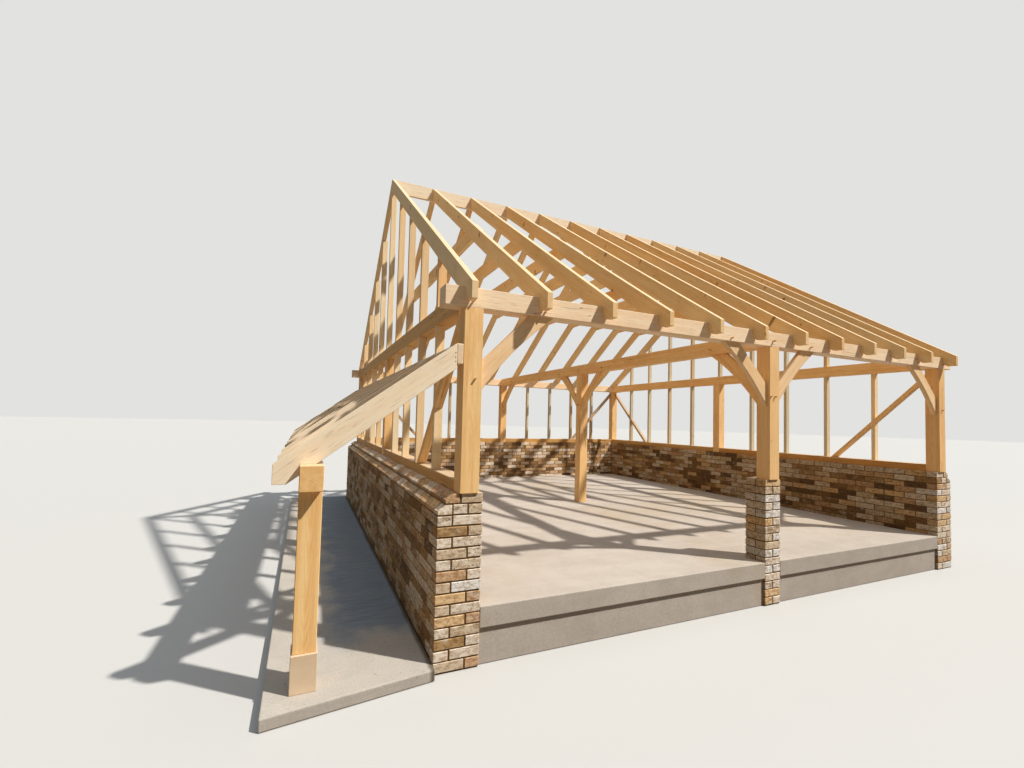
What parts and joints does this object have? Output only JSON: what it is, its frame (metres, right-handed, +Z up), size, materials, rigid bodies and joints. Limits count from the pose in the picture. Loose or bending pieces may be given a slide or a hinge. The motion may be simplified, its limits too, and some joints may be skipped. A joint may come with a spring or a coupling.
{
  "type": "timber garage frame",
  "caption": "Open-fronted two-bay garage frame of oak posts, beams and braces on brick dwarf walls, with bare gable rafters and a lean-to down its left side",
  "frame": {"origin": "middle of the whole frame's box at the lowest ground", "axes": "+X to the right along the open front, +Y to the back, +Z up"},
  "size_m": [7.729, 6.9644, 5.0249],
  "materials": {
    "concrete": "matte",
    "brick": "matte",
    "pad_stone": "matte",
    "oak": "matte",
    "softwood": "matte"
  },
  "bodies": {
    "root": {"floor_slab": "concrete", "side_slab": "concrete", "left_wall": "brick", "back_wall": "brick", "right_wall": "brick", "front_pier": "brick", "post_front_left": "oak", "post_front_middle": "oak", "post_front_right": "oak", "post_centre": "oak", "post_back_left": "oak", "post_back_middle": "oak", "post_back_right": "oak", "post_left_middle": "oak", "post_right_middle": "oak", "beam_front": "oak", "beam_back": "oak", "tie_left": "oak", "tie_centre": "oak", "tie_right": "oak", "sole_left": "oak", "sole_back": "oak", "sole_right": "oak", "braces_front": "oak", "braces_tie": "oak", "braces_left_wall": "oak", "braces_right_wall": "oak", "braces_back_wall": "oak", "studs_left": "softwood", "studs_right": "softwood", "studs_back": "softwood", "gable_studs_left": "softwood", "gable_studs_right": "softwood", "ridge_board": "softwood", "rafters_front": "softwood", "rafters_back": "softwood", "collars": "softwood", "lean_ledger": "softwood", "lean_plate": "oak", "lean_posts": "oak", "lean_post_bases": "pad_stone", "lean_rafters": "softwood"}
  },
  "joints": []
}
